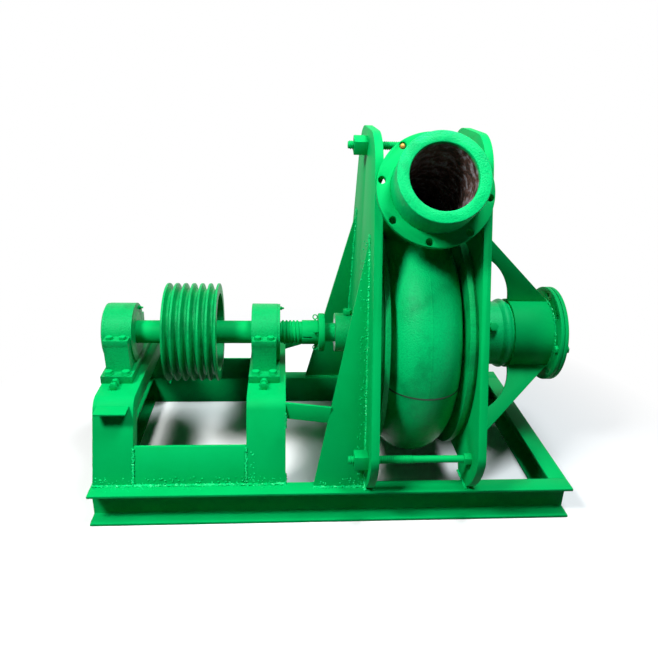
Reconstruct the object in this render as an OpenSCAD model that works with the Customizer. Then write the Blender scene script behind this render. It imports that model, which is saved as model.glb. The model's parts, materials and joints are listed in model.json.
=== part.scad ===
/* [Base frame] */
// Distance that the rails stand out past the outer pedestal
base_over = 6; // [2:1:12]
// Length of the base frame
base_len = 1356; // [1300:1:1400]
// Width of the base frame
base_wid = 746; // [720:1:780]
// Height of the frame channels
rail_h = 100; // [85:1:110]
// Flange width of the frame channels
rail_b = 52; // [46:1:58]
// Web thickness of the frame channels
rail_web = 6; // [4:0.5:9]
// Flange thickness of the frame channels
rail_fl = 8; // [5:0.5:11]

/* [Pedestals] */
// Width of a bearing pedestal
ped_w = 110; // [104:1:120]
// Distance from the centre line to a leg's outer face at the frame
ped_foot_y = 330; // [325:1:340]
// Distance from the centre line to the corner of a pedestal's top
ped_top_y = 241; // [235:1:248]
// Outer radius of a pedestal's bend
ped_r = 45; // [30:1:60]
// Thickness of a pedestal's web
ped_t = 7; // [5:0.5:10]
// Depth of a pedestal's side flanges
ped_fl = 50; // [40:1:60]
// Thickness of a pedestal's side flanges
ped_ft = 7; // [5:0.5:9]
// Centre of the pedestal at the pulley's outer side
ped1_x = -630; // [-634:1:-627]
// Centre of the pedestal beside the casing
ped2_x = -209; // [-213:1:-203]
// Height of the skirt plates between the legs, along their slope
skirt_h = 108; // [80:1:130]
// Thickness of the skirt plates
skirt_t = 6; // [4:0.5:8]
// Width of the tab on the outer pedestal
tab_w = 87; // [60:1:100]
// Depth of the tab
tab_len = 44; // [30:1:60]
// Thickness of the tab
tab_t = 5; // [3:0.5:8]
// Distance of the tab below the pedestal's top
tab_drop = 16; // [14:1:40]

/* [Bearings] */
// Height of the shaft's axis above the ground
shaft_z = 425; // [410:1:440]
// Height of the shaft's axis above a bearing's foot
brg_ch = 103; // [98:1:112]
// Centre of the outer bearing
brg1_x = -642; // [-644:1:-640]
// Centre of the bearing beside the casing
brg2_x = -217; // [-219:1:-213]
// Width of a bearing's housing
brg_w = 78; // [70:1:84]
// Outer radius of a bearing's cap
cap_r = 88; // [82:1:94]
// Outer radius of a rolling bearing
ring_r = 62.5; // [58:0.5:68]
// Width of a rolling bearing
ring_w = 31; // [24:1:36]
// Wall of a rolling bearing's rings
ring_t = 7; // [5:0.5:8]
// Number of rollers in a bearing
roller_n = 14; // [10:1:15]
// Width of the block under the ears
ear_w = 70; // [66:1:78]
// Distance from the centre line to the ears' ends
ear_y = 117; // [112:1:122]
// Height of the cap's ears above the split
ear_h = 20; // [16:1:26]
// Length of a bearing's foot
foot_len = 286; // [274:1:296]
// Width of a bearing's foot
foot_w = 90; // [84:1:92]
// Thickness of a bearing's foot
foot_t = 22; // [16:1:26]
// Spacing of the two cap bolts on an ear
cap_bolt_dx = 38; // [34:1:44]
// Spacing of the two foot bolts at an end
foot_bolt_dx = 50; // [46:1:58]
// Diameter of the cap bolts
cap_bolt_d = 12; // [10:1:12]
// Diameter of the foot bolts
foot_bolt_d = 14; // [12:1:16]
// Thickness of the cover at the casing's side
cover_t = 7; // [5:1:10]
// Thickness of the closed cover at the shaft's end
blind_t = 11; // [8:1:14]
// Diameter of the jack screws
jack_d = 14; // [12:1:16]

/* [Shaft and pulley] */
// Diameter of the shaft in the bearings
shaft_d = 70; // [64:1:74]
// Diameter of the shaft in the gland
neck_d = 57; // [50:1:58]
// Outer diameter of the threaded and locking sleeves
sleeve_d = 75; // [70:1:82]
// Length of the threaded sleeve
thread_len = 66; // [55:1:70]
// Pitch of the threaded sleeve
thread_p = 11; // [9:0.5:13]
// Depth of the thread
thread_h = 5; // [3:0.5:6]
// Length of the locking sleeve
lock_len = 50; // [44:1:54]
// Diameter of the shaft collar
collar_d = 118; // [104:1:126]
// Width of the shaft collar
collar_w = 19; // [14:1:22]
// Radius of the pulley
pulley_r = 149; // [140:1:156]
// Centre of the pulley
pulley_x = -432; // [-437:1:-425]
// Number of belt grooves
groove_n = 6; // [4:1:6]
// Pitch of the belt grooves
groove_p = 25; // [24:0.5:26]
// Width of a groove at its mouth
groove_w = 19; // [17:0.5:20]
// Depth of a groove
groove_h = 19; // [16:0.5:21]
// Length of the pulley's hub
hub_len = 110; // [90:1:130]
// Radius of the pulley's hub
hub_r = 58; // [52:1:66]

/* [End plates] */
// Middle of the casing along the shaft
case_x = 223; // [219:1:225]
// Gap between the two end plates
plate_gap = 264; // [260:1:268]
// Thickness of the end plates
plate_t = 22; // [18:1:24]
// Height of the end plates above the frame
plate_h = 937; // [920:1:950]
// Distance of a plate's edge line from the centre at the frame's top
edge_y = 473.7; // [468:1:480]
// Lean of the plates' edges
edge_slope = 0.3407; // [0.335:0.001:0.345]
// Radius of the plates' top corners
top_r = 120; // [100:1:140]
// Radius of the plates' widest corners
lug_r = 60; // [40:1:80]
// Height of the widest corners' centres above the frame
lug_z = 125; // [110:1:140]
// Radius of the plates' lower corners
lug_low_r = 200; // [180:1:220]
// Height of a plate's bottom edge above the frame between its feet
plate_lift = 35; // [25:1:45]
// Distance from the centre line to the feet's inner ends
foot_in_y = 274; // [262:1:286]
// Diameter of the tie rods
tie_d = 20; // [16:1:22]
// Width of the square tie nuts
tie_nut = 40; // [34:1:44]
// Height of the upper tie rod above the frame
tie_top_z = 890; // [880:1:895]
// Distance of the lower tie rods from the centre line
tie_low_y = 365; // [360:1:370]
// Height of the lower tie rods above the frame
tie_low_z = 102; // [98:1:110]
// Thickness of the leaning gussets
gus_t = 10; // [8:1:14]
// Length of a gusset along the frame
gus_len = 146; // [130:1:160]
// Height of a gusset
gus_h = 677; // [640:1:700]
// Distance from the centre line to a gusset's foot
gus_y = 347; // [344:1:350]
// Lean of the gussets
gus_slope = 0.262; // [0.255:0.001:0.27]
// Height of the brace bars
brace_h = 50; // [40:1:60]
// Thickness of the brace bars
brace_t = 8; // [6:1:10]

/* [Casing] */
// Radius of the casing's round section
tube_r = 105; // [102:1:107]
// Wall of the casing
case_t = 16; // [12:1:18]
// Casing radius in the quarter after the tongue
volute_r1 = 352; // [349:1:354]
// Growth of the casing radius in the second quarter
volute_g2 = 7; // [5:1:9]
// Growth of the casing radius in the third quarter
volute_g3 = 17; // [15:1:19]
// Growth of the casing radius in the last quarter
volute_g4 = 28; // [26:1:30]
// Gap between the liner's pad and the casing's side cheeks
cheek_gap = 12; // [8:1:20]
// Distance of the casing's joint below the axis
joint_drop = 44; // [30:1:60]
// Step from the casing's rim in to the side liners' rim
liner_step = 15; // [12:1:20]
// Thickness of a liner's outer disc
liner_t = 15; // [12:1:18]
// Radius of the liner's inner pad
pad_r = 170; // [160:1:174]
// Running gap between the impeller and the liners
imp_gap = 4; // [3:0.5:6]
// Radius of the impeller
imp_r = 200; // [190:1:206]
// Width of the impeller
imp_w = 166; // [156:1:170]
// Number of impeller vanes
vane_n = 4; // [3:1:5]

/* [Discharge] */
// Upward tilt of the discharge
dis_tilt = 30; // [28:1:32]
// Distance from the volute's exit to the discharge flange's face
dis_len = 406; // [403:1:412]
// Diameter of the discharge flange
dis_flange_d = 306; // [300:1:312]
// Thickness of the discharge flange
dis_flange_t = 16; // [12:1:17]
// Bolt circle of the discharge flange
dis_pcd = 280; // [270:1:282]
// Diameter of the discharge flange's holes
dis_hole_d = 20; // [16:1:22]
// Diameter of the discharge neck
neck_ring_d = 234; // [220:1:240]
// Distance that the neck stands out of its flange
neck_out = 88; // [70:1:100]

/* [Suction] */
// Outer face of the companion flange
suction_x = 684; // [677:1:691]
// Outer diameter of the suction pipe
pipe_d = 199; // [196:1:204]
// Wall of the suction pipe, whose bore the discharge has too
pipe_t = 13.5; // [9:0.5:15]
// Wall of the suction sleeve round the pipe
suc_sleeve_t = 9; // [7:0.5:12]
// Length of the suction sleeve
suc_sleeve_len = 124; // [110:1:130]
// Width of the pipe's raised bead
bead_w = 30; // [20:1:34]
// Distance from the suction flanges' bolt circle to their rim
suc_rim = 19; // [16:1:24]
// Thickness of a suction flange
suc_flange_t = 11; // [9:0.5:14]
// Thickness of the suction gasket
gasket_t = 2; // [1:0.5:3]
// Distance from the suction sleeve to the flanges' bolt circle
suc_room = 19.5; // [18:0.5:24]
// Diameter of the suction flanges' holes
suc_hole_d = 16; // [14:1:18]
// Reach of the suction gussets from the pipe along the plate
rib_h = 270; // [250:1:280]
// Radius of the round opening in a suction gusset
rib_r = 155; // [140:1:158]
// Thickness of the suction gussets
rib_t = 10; // [8:1:12]

/* [Stuffing box] */
// Outer diameter of the stuffing box
box_d = 120; // [114:1:128]
// Distance that the stuffing box stands out of its plate
box_out = 72; // [60:1:76]
// Width of one packing ring
pack_w = 14; // [12:1:15]
// Number of packing rings
pack_n = 4; // [3:1:4]

/* [Hidden] */
$fn = 96;

green = "mediumseagreen";
steel = "silver";
cast = "seagreen";

// Clearances
run_gap = 0.4;      // between a turning piece and the piece around it
fit_gap = 0.05;     // radial, a turning screw in its nut
roll_gap = 0.3;     // between the rollers and their rings
bolt_gap = 1;       // radial, a bolt in its hole
far = 2000;         // reach of a cutting block

// Frame
half_len = base_len / 2;
base_x = ped1_x - ped_w / 2 - base_over + half_len;   // middle of the frame, its left end by the pedestal
bore_d = pipe_d - 2 * pipe_t;                         // bore of the suction and the discharge
suc_sleeve_d = pipe_d + 2 * suc_sleeve_t;
suc_pcd = suc_sleeve_d + 2 * suc_room;                // bolt circle of the suction flanges
suc_flange_d = suc_pcd + 2 * suc_rim;
liner_r = volute_r1 - liner_step;
cheek_h = volute_r1 - pad_r - cheek_gap;              // depth of the casing's side cheeks from its rim
half_wid = base_wid / 2;
web_y = half_wid - rail_b;             // back of the long rails' webs

// Pedestals
ped_top = shaft_z - brg_ch;
ped_lean = (ped_foot_y - ped_top_y) / (ped_top - rail_h);
ped_cos = cos(atan(ped_lean));
skirt_x0 = ped1_x + ped_w / 2;
skirt_x1 = ped2_x - ped_w / 2;

// End plates
plate1_in = case_x - plate_gap / 2;    // inner face of the drive side plate
plate2_in = case_x + plate_gap / 2;    // inner face of the suction side plate
plate1_out = plate1_in - plate_t;
plate2_out = plate2_in + plate_t;
edge_cos = cos(atan(edge_slope));
gus_cos = cos(atan(gus_slope));

// Shaft stations
thread_x1 = brg2_x + brg_w / 2 + cover_t + 1;
thread_x2 = thread_x1 + thread_len;
lock_x2 = thread_x2 + lock_len;
collar_x2 = lock_x2 + collar_w;
box_x = plate1_out - box_out;
shaft_x0 = brg1_x - brg_w / 2 + 6;
pad_x1 = case_x - imp_w / 2 - imp_gap;   // face of the drive side liner's pad
pad_x2 = case_x + imp_w / 2 + imp_gap;
nose_x = case_x + imp_w / 2 - 22;

// Bearings
roll_in = shaft_d / 2 + ring_t;
roll_out = ring_r - ring_t;
roll_r = (roll_out - roll_in) / 2 - roll_gap;
roll_c = (roll_out + roll_in) / 2;
cap_bolt_y = (cap_r + ear_y) / 2;
foot_bolt_y = (ear_y + foot_len / 2) / 2 - 3;
jack_af = jack_d * 1.5;
jack_z = ped_top + jack_af / 2;

// Suction line
flange2_x = suction_x - suc_flange_t;
flange1_x = flange2_x - gasket_t - suc_flange_t;
sleeve_x = flange1_x - suc_sleeve_len;
bead_x = sleeve_x - 4 - bead_w;

// Volute: four quarter turns whose centres shift so that the wall stays smooth
exit_a = 90 - dis_tilt;
volute_r = [volute_r1, volute_r1 + volute_g2, volute_r1 + volute_g2 + volute_g3,
    volute_r1 + volute_g2 + volute_g3 + volute_g4];
volute_p = -2;
volute_q = 4;
// Centres along the exit direction and the direction a quarter turn on
volute_c = [[volute_p, volute_q], [volute_p, volute_q - volute_g2],
    [volute_p + volute_g3, volute_q - volute_g2],
    [volute_p + volute_g3, volute_q - volute_g2 + volute_g4]];
function turn(p, a) = [p[0] * cos(a) - p[1] * sin(a), p[0] * sin(a) + p[1] * cos(a)];
exit_r = volute_r[3] + volute_c[3][0] - tube_r;   // height of the discharge line over the axis
exit_q = volute_c[3][1];

// Points of an arc about c, from angle a0 to a1
function arc(c, r, a0, a1, n = 12) =
    [for (i = [0:n]) c + r * [cos(a0 + (a1 - a0) * i / n), sin(a0 + (a1 - a0) * i / n)]];
function mirrored(pts) = [for (i = [len(pts) - 1:-1:0]) [-pts[i][0], pts[i][1]]];

// A profile drawn in Y and Z, run along X from x0
module along_x(x0, length) translate([x0, 0, 0]) rotate([90, 0, 90]) linear_extrude(length) children();
// A round bar or tube on the shaft's axis
module bar(x0, x1, r) translate([x0, 0, shaft_z]) rotate([0, 90, 0]) cylinder(h = x1 - x0, r = r);
module tube(x0, x1, ro, ri) difference() {
    bar(x0, x1, ro);
    bar(x0 - 1, x1 + 1, ri);
}
// A hexagon across its flats
module hex(af, h) cylinder(h = h, d = af / cos(30), $fn = 6);
module both_sides() {
    children();
    mirror([0, 1, 0]) children();
}

// Frame channels: web at y = 0, flanges towards -Y
module channel(length) {
    translate([0, -rail_web, 0]) cube([length, rail_web, rail_h]);
    for (z = [0, rail_h - rail_fl]) translate([0, -rail_b, z]) cube([length, rail_b, rail_fl]);
}
module front_rail() color(green) translate([base_x - half_len, -web_y, 0]) channel(base_len);
module rear_rail() color(green) mirror([0, 1, 0]) translate([base_x - half_len, -web_y, 0]) channel(base_len);
// End channels between the long rails' webs, flanges towards the middle
module end_rail() {
    translate([half_len - rail_web, -web_y, 0]) cube([rail_web, 2 * web_y, rail_h]);
    for (z = [0, rail_h - rail_fl]) translate([half_len - rail_b, -web_y, z]) cube([rail_b, 2 * web_y, rail_fl]);
}
module right_end_rail() color(green) translate([base_x, 0, 0]) end_rail();
module left_end_rail() color(green) translate([base_x, 0, 0]) mirror([1, 0, 0]) end_rail();

// Half of a pedestal's outline, moved inwards by t, from the foot to the middle
function ped_half(t) = let (r = max(ped_r - t, 2), zc = ped_top - t - r,
    yc = ped_foot_y - ped_lean * (zc - rail_h) - (t + r) / ped_cos, a = atan(ped_lean))
    concat([[ped_foot_y - t / ped_cos, rail_h]], arc([yc, zc], r, a, 90, 8));
function ped_outline(t) = concat(ped_half(t), mirrored(ped_half(t)));
module ped_band(t) difference() {
    polygon(ped_outline(0));
    polygon(ped_outline(t));
}
module pedestal(x, bx) difference() {
    union() {
        along_x(x - ped_w / 2, ped_w) ped_band(ped_t);
        for (x0 = [x - ped_w / 2, x + ped_w / 2 - ped_ft]) along_x(x0, ped_ft) ped_band(ped_fl);
    }
    foot_bolt_places(bx) translate([0, 0, ped_top - ped_fl]) cylinder(h = 2 * ped_fl, r = foot_bolt_d / 2 + bolt_gap);
}
module left_pedestal() color(green) pedestal(ped1_x, brg1_x);
module right_pedestal() color(green) pedestal(ped2_x, brg2_x);

module pedestal_tab() color(green) difference() {
    translate([ped1_x - tab_w / 2, -tab_y() - tab_len, ped_top - tab_drop - tab_t])
        cube([tab_w, tab_len + 30, tab_t]);
    along_x(ped1_x - ped_w, 2 * ped_w) polygon(ped_outline(0));
}
function tab_y() = ped_foot_y - ped_lean * (ped_top - tab_drop - rail_h);

// A plate between the legs, in the plane of their front faces
module skirt() difference() {
    along_x(skirt_x0, skirt_x1 - skirt_x0) polygon([
        for (p = [[0, 0], [0, skirt_h], [skirt_t + 2, skirt_h], [skirt_t + 2, 0]])
            [-ped_foot_y + (2 + p[0]) / ped_cos + p[1] * ped_lean * ped_cos, rail_h + p[1] * ped_cos]]);
    translate([-far / 2, -far / 2, rail_h - far]) cube([far, far, far]);
}
module front_skirt() color(green) skirt();
module rear_skirt() color(green) mirror([0, 1, 0]) skirt();

// Outline of an end plate: leaning edges, round top corners, round lower lugs
lug_turn = 14;
function edge_at(z) = edge_y - edge_slope * z;
function plate_half() = let (a = atan(edge_slope),
    lc = [edge_at(lug_z) - lug_r / edge_cos, lug_z],
    low = lc + (lug_r - lug_low_r) * [cos(lug_turn), -sin(lug_turn)],
    tz = plate_h - top_r, tc = [edge_at(tz) - top_r / edge_cos, tz])
    concat([[foot_in_y - 20, plate_lift], [foot_in_y, 0]],
        arc(low, lug_low_r, -asin(low[1] / lug_low_r), -lug_turn, 12),
        arc(lc, lug_r, -lug_turn, a, 10), arc(tc, top_r, a, 90, 14));
module plate_outline() translate([0, rail_h]) polygon(concat(plate_half(), mirrored(plate_half())));
function tie_places() = [[0, tie_top_z], [-tie_low_y, tie_low_z], [tie_low_y, tie_low_z]];
module tie_holes(x0) for (p = tie_places()) translate([x0, p[0], rail_h + p[1]])
    rotate([0, 90, 0]) cylinder(h = 2 * plate_t, r = tie_d / 2 + bolt_gap);
// Seat of the discharge flange on the plates, with room behind it for its bolts
bolt_room = 45;
module flange_seat() on_discharge() translate([0, 0, dis_len - dis_flange_t]) {
    cylinder(h = 2 * dis_flange_t, d = dis_flange_d);
    flange_holes() translate([0, 0, -bolt_room]) cylinder(h = bolt_room + 1, r = dis_hole_d / 2 + bolt_gap);
}
module drive_side_plate() color(green) difference() {
    along_x(plate1_out, plate_t) plate_outline();
    bar(plate1_out - 1, plate1_in + 1, box_d / 2);
    tie_holes(plate1_out - plate_t / 2);
    flange_seat();
}
module suction_side_plate() color(green) difference() {
    along_x(plate2_in, plate_t) plate_outline();
    bar(plate2_in - 1, plate2_out + 1, pipe_d / 2);
    tie_holes(plate2_in - plate_t / 2);
    flange_seat();
}

// Leaning gusset between the drive side plate and a long rail
module gusset_slab(t0, t1) translate([plate1_out, -gus_y, rail_h]) rotate([-atan(gus_slope), 0, 0])
    rotate([90, 0, 0]) translate([0, 0, t0]) linear_extrude(t1 - t0)
        polygon([[-gus_len - 20 * gus_len / gus_h, -20], [0, -20], [0, gus_h / gus_cos]]);
module gusset() difference() {
    gusset_slab(-gus_t, 0);
    translate([-far / 2, -far / 2, rail_h - far]) cube([far, far, far]);
}
module front_gusset() color(green) gusset();
module rear_gusset() color(green) mirror([0, 1, 0]) gusset();

// Brace bar from the inner pedestal's flange to the gusset's sloping edge
brace_x1 = ped2_x + ped_w / 2;
brace_y1 = ped_foot_y - ped_lean * (ped_top - 12 - rail_h) - 8;
brace_z1 = ped_top - 12 - brace_h;
brace_z2 = brace_z1 + 15;
brace_x2 = plate1_out - gus_len + gus_len * (brace_z2 + brace_h / 2 - rail_h) / gus_h;
gus_reach = 100;        // the cut that ends a brace on the gusset's edge, to each side
brace_y2 = gus_y - gus_slope * (brace_z2 - rail_h + brace_h / 2) - gus_t / 2;
module brace() {
    dx = brace_x2 - brace_x1;
    dy = brace_y2 - brace_y1;
    span = sqrt(dx * dx + dy * dy);
    reach = span + 30;
    rise = (brace_z2 - brace_z1) * reach / span;
    difference() {
        translate([brace_x1, -brace_y1, brace_z1]) rotate(-atan2(dy, dx)) translate([-20, brace_t / 2, 0])
            rotate([90, 0, 0]) linear_extrude(brace_t)
                polygon([[0, -20 * rise / reach], [reach + 20, rise], [reach + 20, rise + brace_h],
                    [0, brace_h - 20 * rise / reach]]);
        translate([brace_x1 - far, -far / 2, 0]) cube([far, far, far]);
        gusset_slab(-gus_reach, gus_reach);
    }
}
module front_brace() color(green) brace();
module rear_brace() color(green) mirror([0, 1, 0]) brace();

// Tie rods with a hexagon head outside the suction side plate
tie_end = 54;
tie_head_t = 13;
tie_head_af = tie_d * 1.5;
tie_nut_t = 38;
module tie_rods() color(green) for (p = tie_places()) translate([0, p[0], rail_h + p[1]]) rotate([0, 90, 0]) {
    translate([0, 0, plate1_out - tie_end]) cylinder(h = plate2_out - plate1_out + tie_end, d = tie_d);
    translate([0, 0, plate2_out]) hex(tie_head_af, tie_head_t);
}
module tie_nuts() color(green) {
    turns = [21, 0, 0];
    for (i = [0:2]) translate([0, tie_places()[i][0], rail_h + tie_places()[i][1]])
        rotate([0, 90, 0]) difference() {
            union() {
                rotate(turns[i]) translate([-tie_nut / 2, -tie_nut / 2, plate1_out - tie_nut_t])
                    cube([tie_nut, tie_nut, tie_nut_t]);
                translate([0, 0, plate2_in - tie_d]) hex(tie_head_af, tie_d);
            }
            cylinder(h = far, d = tie_d);
        }
}

// Volute casing: each quarter turn is a round-crowned section turned about its own centre
throat_len = 264;       // length of the volute's own outlet past its last quarter
throat_r = tube_r + 2;  // outer radius of the outlet
module section(r, t, inward) {
    inner = r - cheek_h - inward;
    intersection() {
        translate([r - tube_r, 0]) circle(tube_r - t);
        translate([inner, -2 * tube_r]) square([r - inner + 1, 4 * tube_r]);
    }
    translate([inner, t - tube_r]) square([r - tube_r - inner, 2 * (tube_r - t)]);
}
module quarters(list, t, inward, angle = 90) for (i = list)
    translate([case_x, turn(volute_c[i], exit_a)[0], shaft_z + turn(volute_c[i], exit_a)[1]])
        rotate([90, 0, 90]) rotate([0, 0, exit_a + 90 * i])
            rotate_extrude(angle = angle) section(volute_r[i], t, inward);
// A piece on the discharge line, its +Z along the flow, from the volute's exit
module on_discharge() translate([case_x, 0, shaft_z]) rotate([90 - dis_tilt, 0, 0])
    translate([0, exit_r, exit_q]) children();
dis_turn = -8.5;        // angle of the first hole of the discharge flange
module flange_holes() for (k = [0:7]) rotate(dis_turn + 45 * k) translate([dis_pcd / 2, 0, 0]) children();
module below_joint() translate([-far / 2, -far / 2, shaft_z - joint_drop - far]) cube([far, far, far]);
// Room for the end of the last quarter beside the start of the first
module last_quarter_end() on_discharge() translate([-far / 2, tube_r - cheek_h, -far]) cube([far, far, far]);
module volute_upper() color(cast) difference() {
    quarters([0, 1], 0, 0);
    quarters([0, 1], case_t, 4);
    last_quarter_end();
    on_discharge() translate([0, 0, -4]) cylinder(h = throat_len + 4, r = throat_r);
    below_joint();
}
module volute_outlet() color(cast) difference() {
    union() {
        quarters([3], 0, 0);
        on_discharge() cylinder(h = throat_len, r = throat_r);
    }
    quarters([0, 3], case_t, 4);
    on_discharge() translate([0, 0, -4]) cylinder(h = 2 * throat_len, d = bore_d);
    below_joint();
}
module volute_lower() color(cast) intersection() {
    difference() {
        union() {
            quarters([1], 0, 0);
            quarters([2], 0, 0, 120);
        }
        quarters([1], case_t, 4);
        quarters([2], case_t, 4, 120);
    }
    below_joint();
}

// Side liners between the casing and the end plates
liner_back_r = liner_r - 12;
liner_back = plate_gap / 2 - tube_r - liner_t;
module drive_side_liner() color(cast) difference() {
    union() {
        bar(plate1_in, plate1_in + liner_back, liner_back_r);
        bar(plate1_in + liner_back, case_x - tube_r, liner_r);
        bar(case_x - tube_r, pad_x1, pad_r);
    }
    bar(plate1_in - 1, pad_x1 + 1, neck_d / 2 + 5);
    on_discharge() cylinder(h = throat_len, r = throat_r);
}
module suction_side_liner() color(cast) difference() {
    union() {
        bar(plate2_in - liner_back, plate2_in, liner_back_r);
        bar(case_x + tube_r, plate2_in - liner_back, liner_r);
        bar(pad_x2, case_x + tube_r, pad_r);
    }
    bar(pad_x2 - 1, plate2_in + 1, bore_d / 2);
    on_discharge() cylinder(h = throat_len, r = throat_r);
}

// Discharge
module discharge_neck() color(cast) on_discharge() difference() {
    union() {
        translate([0, 0, throat_len]) cylinder(h = dis_len - throat_len, r = tube_r);
        translate([0, 0, dis_len - dis_flange_t - 24]) cylinder(h = dis_flange_t + 24 + neck_out, d = neck_ring_d);
    }
    cylinder(h = far / 2, d = bore_d);
}
module discharge_flange() color(green) on_discharge() translate([0, 0, dis_len - dis_flange_t]) difference() {
    cylinder(h = dis_flange_t, d = dis_flange_d);
    translate([0, 0, -1]) cylinder(h = dis_flange_t + 2, d = neck_ring_d);
    flange_holes() translate([0, 0, -1]) cylinder(h = dis_flange_t + 2, d = dis_hole_d);
}

// Suction line
module suction_pipe() color(cast) difference() {
    union() {
        bar(plate2_in, flange1_x, pipe_d / 2);
        translate([bead_x, 0, shaft_z]) rotate([0, 90, 0]) rotate_extrude()
            polygon(concat([[pipe_d / 2 - 3, 0]],
                [for (i = [0:10]) [pipe_d / 2 + (suc_sleeve_d - pipe_d) / 2 * sin(18 * i), bead_w * i / 10]],
                [[pipe_d / 2 - 3, bead_w]]));
    }
    bar(plate2_in - 1, suction_x, bore_d / 2);
    plug_seat(plug_x, 58) translate([0, 0, pipe_d / 2 - plug_deep]) cylinder(h = pipe_d, d = plug_d);
}
module suction_sleeve() color(green) tube(sleeve_x, flange1_x, suc_sleeve_d / 2, pipe_d / 2);
module flange_disc(x) difference() {
    tube(x, x + suc_flange_t, suc_flange_d / 2, bore_d / 2);
    flange_places() translate([0, 0, x - 1]) cylinder(h = suc_flange_t + 2, d = suc_hole_d);
}
module flange_places() translate([0, 0, shaft_z]) rotate([0, 90, 0])
    for (k = [0:7]) rotate(90 + 45 * k) translate([suc_pcd / 2, 0, 0]) children();
module suction_flange() color(green) flange_disc(flange1_x);
module companion_flange() color(green) flange_disc(flange2_x);
module suction_gasket() color("dimgray") tube(flange2_x - gasket_t, flange2_x, suc_pcd / 2 - suc_hole_d, bore_d / 2);
flange_bolt_d = 14;
flange_nut_t = 9;
module flange_bolts() color(green) both_sides() translate([0, -suc_pcd / 2, shaft_z]) rotate([0, 90, 0]) {
    translate([0, 0, flange1_x]) cylinder(h = suction_x - flange1_x, d = flange_bolt_d);
    translate([0, 0, flange1_x - flange_nut_t]) hex(flange_bolt_d * 1.5, flange_nut_t);
    translate([0, 0, suction_x]) hex(flange_bolt_d * 1.5, flange_nut_t);
}

// Gussets round the suction pipe: one above, two below at half right angles
module rib() {
    run = flange1_x - plate2_out;
    r0 = suc_sleeve_d / 2;
    translate([plate2_out, rib_t / 2, 0]) rotate([90, 0, 0]) linear_extrude(rib_t) difference() {
        polygon([[0, r0], [run, r0], [0, r0 + rib_h]]);
        translate([0, r0]) circle(rib_r);
    }
}
module suction_gussets() color(green) translate([0, 0, shaft_z])
    for (a = [0, 135, 225]) rotate([a, 0, 0]) rib();

// Plug in the suction pipe and plug on the stuffing box
plug_d = 16;
plug_x = 468;
plug_h = 14;
module plug(h) {
    cylinder(h = h, d = plug_d);
    translate([0, 0, h]) hex(plug_d * 1.5, plug_h);
}
plug_deep = 10;
module plug_seat(x, a) translate([x, 0, shaft_z]) rotate([a, 0, 0]) children();
module plug_bolts() color(green) {
    plug_seat(plug_x, 58) translate([0, 0, pipe_d / 2 - plug_deep]) plug(plug_deep + 2);
    plug_seat(box_x + 38, 0) translate([0, 0, box_d / 2 - plug_deep]) plug(plug_deep + 2);
}

// Stuffing box with its packing and follower
pack_r = neck_d / 2 + pack_w;
module stuffing_box() color(cast) difference() {
    bar(box_x, plate1_in, box_d / 2);
    bar(box_x - 1, plate1_in - 12, pack_r);
    bar(box_x, plate1_in + 1, neck_d / 2 + 2);
    plug_seat(box_x + 38, 0) translate([0, 0, box_d / 2 - plug_deep]) cylinder(h = box_d, d = plug_d);
}
module packing_rings() color("khaki") for (i = [0:pack_n - 1])
    tube(plate1_in - 12 - (i + 1) * pack_w + 0.5, plate1_in - 12 - i * pack_w, pack_r, neck_d / 2 + roll_gap);
module gland_follower() color(steel)
    tube(box_x, plate1_in - 12 - pack_n * pack_w, pack_r, neck_d / 2 + 1);

// Bearings
module cap_bolt_places(x) for (dx = [-1, 1], dy = [-1, 1])
    translate([x + dx * cap_bolt_dx / 2, dy * cap_bolt_y, 0]) children();
module foot_bolt_places(x) for (dx = [-1, 1], dy = [-1, 1])
    translate([x + dx * foot_bolt_dx / 2, dy * foot_bolt_y, 0]) children();
cap_bolt_deep = 34;
module bearing_base(x) difference() {
    union() {
        difference() {
            bar(x - brg_w / 2, x + brg_w / 2, cap_r);
            translate([x - brg_w, -far / 2, shaft_z]) cube([2 * brg_w, far, far]);
        }
        along_x(x - ear_w / 2, ear_w) polygon([[-ear_y, shaft_z], [ear_y, shaft_z],
            [ear_y - 7, ped_top + foot_t], [7 - ear_y, ped_top + foot_t]]);
        foot_block(x);
    }
    bar(x - brg_w, x + brg_w, ring_r);
    cap_bolt_places(x) translate([0, 0, shaft_z - cap_bolt_deep]) cylinder(h = far, r = cap_bolt_d / 2);
    foot_bolt_places(x) cylinder(h = shaft_z, r = foot_bolt_d / 2 + bolt_gap);
}
module bearing_cap(x) difference() {
    union() {
        difference() {
            bar(x - brg_w / 2, x + brg_w / 2, cap_r);
            translate([x - brg_w, -far / 2, shaft_z - far]) cube([2 * brg_w, far, far]);
        }
        translate([x - ear_w / 2, -ear_y, shaft_z]) cube([ear_w, 2 * ear_y, ear_h]);
    }
    bar(x - brg_w, x + brg_w, ring_r);
    cap_bolt_places(x) translate([0, 0, shaft_z - 1]) cylinder(h = far, r = cap_bolt_d / 2 + bolt_gap / 2);
}
module left_bearing_base() color(cast) bearing_base(brg1_x);
module left_bearing_cap() color(cast) bearing_cap(brg1_x);
module right_bearing_base() color(cast) bearing_base(brg2_x);
module right_bearing_cap() color(cast) bearing_cap(brg2_x);
module cap_bolts() color(steel) for (x = [brg1_x, brg2_x]) cap_bolt_places(x) {
    translate([0, 0, shaft_z - cap_bolt_deep]) cylinder(h = cap_bolt_deep + ear_h, d = cap_bolt_d);
    translate([0, 0, shaft_z + ear_h]) hex(cap_bolt_d * 1.5, cap_bolt_d * 0.75);
}
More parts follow.
